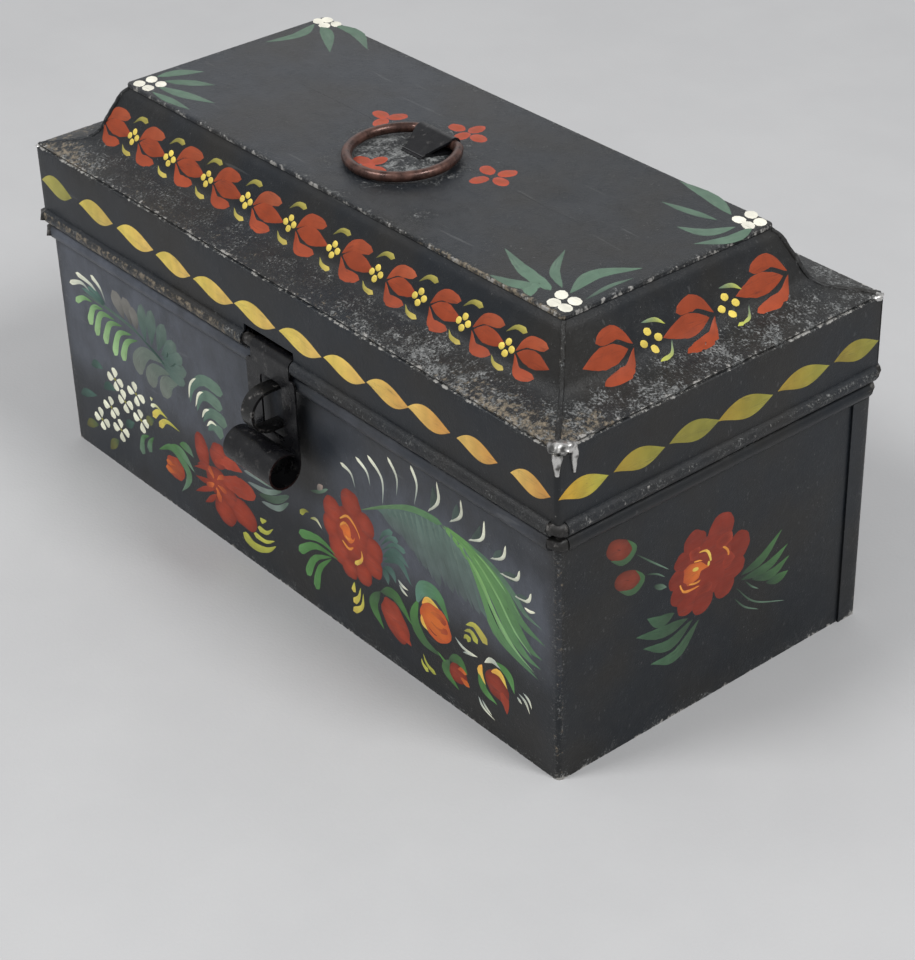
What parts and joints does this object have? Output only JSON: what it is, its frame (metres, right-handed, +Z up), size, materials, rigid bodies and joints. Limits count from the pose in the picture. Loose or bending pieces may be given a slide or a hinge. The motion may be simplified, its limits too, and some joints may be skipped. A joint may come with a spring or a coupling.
{
  "type": "hip-lidded tin box",
  "caption": "Small japanned tin box with a coved, hipped lid hinged at the back, a front hasp over a hoop, and a lying carrying ring on the flat top.",
  "frame": {"origin": "centre of the base, on the surface the box stands on", "axes": "+X along the front, to the right as seen from the front; the front with the hasp faces -Y; +Z up"},
  "size_m": [0.2002, 0.1091, 0.1075],
  "materials": {
    "japanned_tin": "satin",
    "fitting_tin": "satin",
    "hoop_tin": "worn satin",
    "iron_wire": "worn satin",
    "rivet_iron": "worn satin",
    "ring_wire": "gloss"
  },
  "bodies": {
    "box": {"body_front_and_ends": "japanned_tin", "body_back": "japanned_tin", "body_bottom": "japanned_tin", "body_rim_wire": "iron_wire", "hoop": "hoop_tin", "hoop_backing_plate": "japanned_tin", "hinge_strap_left": "fitting_tin", "hinge_strap_right": "fitting_tin", "hinge_rivets": "rivet_iron"},
    "lid": {"lid_skirt_front_and_ends": "japanned_tin", "lid_skirt_back": "japanned_tin", "lid_cove_front": "japanned_tin", "lid_cove_right": "japanned_tin", "lid_cove_back": "japanned_tin", "lid_cove_left": "japanned_tin", "lid_top_panel": "japanned_tin", "lid_rim_wire": "iron_wire", "ring_strap": "fitting_tin"},
    "ring": {"carrying_ring": "ring_wire"},
    "hasp": {"hasp": "fitting_tin"}
  },
  "joints": [
    {"name": "lid_open", "type": "hinge", "parent": "box", "child": "lid", "pos_m": [0, 0.0481, 0.0672], "axis": [-1, 0, 0], "range_deg": [0, 120]},
    {"name": "hasp_swing", "type": "hinge", "parent": "lid", "child": "hasp", "pos_m": [0.001, -0.0481, 0.0672], "axis": [-1, 0, 0], "range_deg": [0, 130]},
    {"name": "ring_swing", "type": "hinge", "parent": "lid", "child": "ring", "pos_m": [0, 0.0026, 0.10562], "axis": [-1, 0, 0], "range_deg": [0, 177]}
  ]
}
